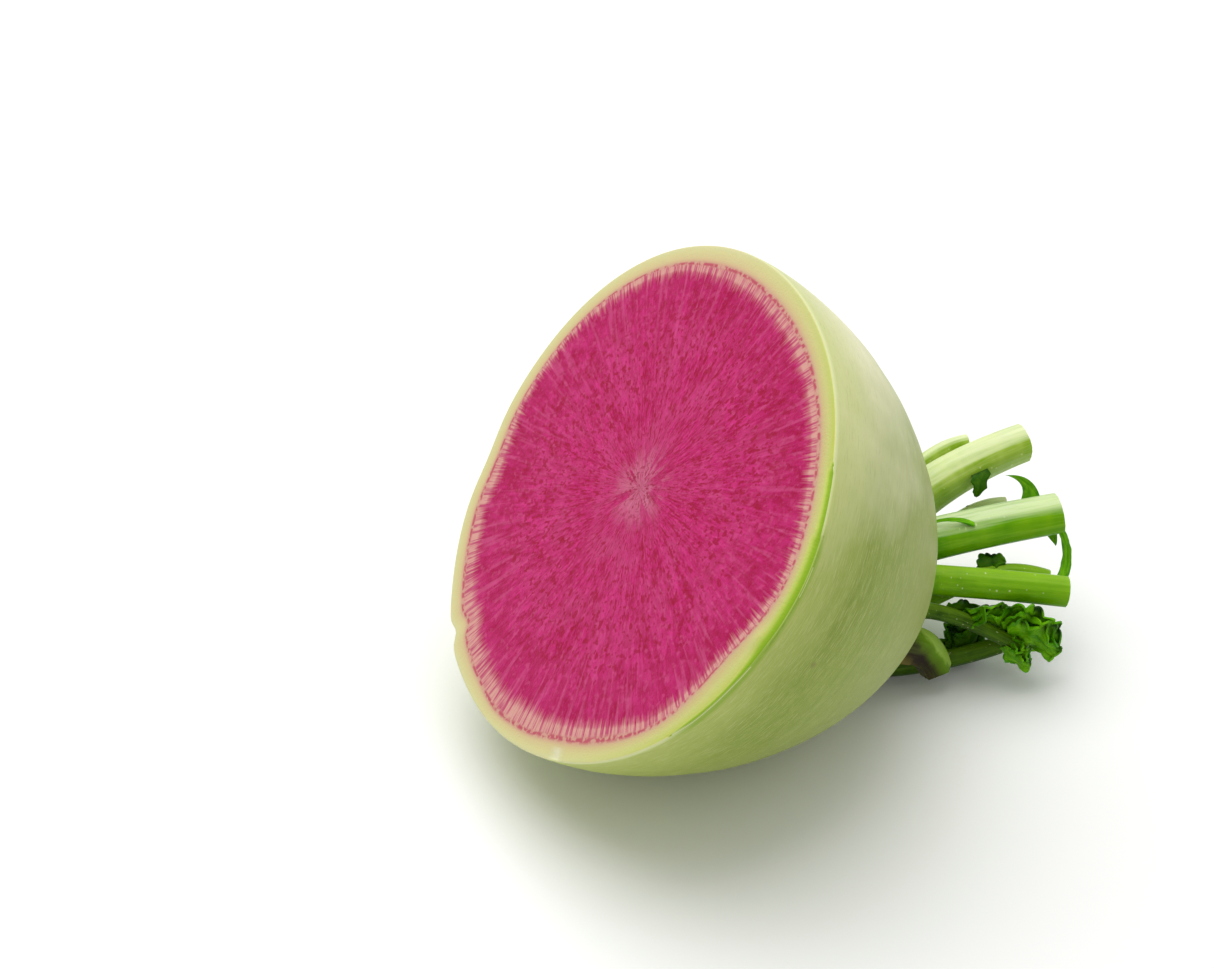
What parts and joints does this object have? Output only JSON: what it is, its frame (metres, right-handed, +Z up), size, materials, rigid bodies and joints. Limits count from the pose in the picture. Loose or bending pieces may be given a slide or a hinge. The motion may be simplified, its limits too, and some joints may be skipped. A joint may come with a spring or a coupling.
{
  "type": "watermelon radish",
  "caption": "Crown half of a watermelon radish, cut across and lying on its side, with its trimmed leaf stalks and scraps of curly leaf.",
  "frame": {"origin": "on the surface it lies on, under the middle of its box", "axes": "+Z up; +X level, from the cut face toward the leaf stalks; the cut face looks toward -X and up; -Y is the front"},
  "size_m": [0.1116, 0.0898, 0.0837],
  "materials": {
    "radish_flesh": "moist cut flesh, magenta with fine radial fibres, inside a pale yellow rind and a streaked pale green skin",
    "stalk_pale": "smooth, slightly waxy, pale yellow-green stalk with fine lengthwise veins",
    "stalk_green": "smooth, slightly waxy, fresh green stalk with fine lengthwise veins",
    "leaf_green": "dark to bright green, finely wrinkled leaf on a green stalk",
    "stalk_bruised": "olive and brown stalk base with a purple-black bruise"
  },
  "bodies": {
    "root": {"radish_half": "radish_flesh", "stalk_top": "stalk_pale", "stalk_top_rear": "stalk_pale", "stalk_upper_rear": "stalk_pale", "stalk_upper": "stalk_green", "stalk_middle": "stalk_green", "stalk_middle_rear": "stalk_green", "stalk_low": "leaf_green", "stalk_under": "leaf_green", "stalk_far": "leaf_green", "stalk_bruised": "stalk_bruised"}
  },
  "joints": []
}
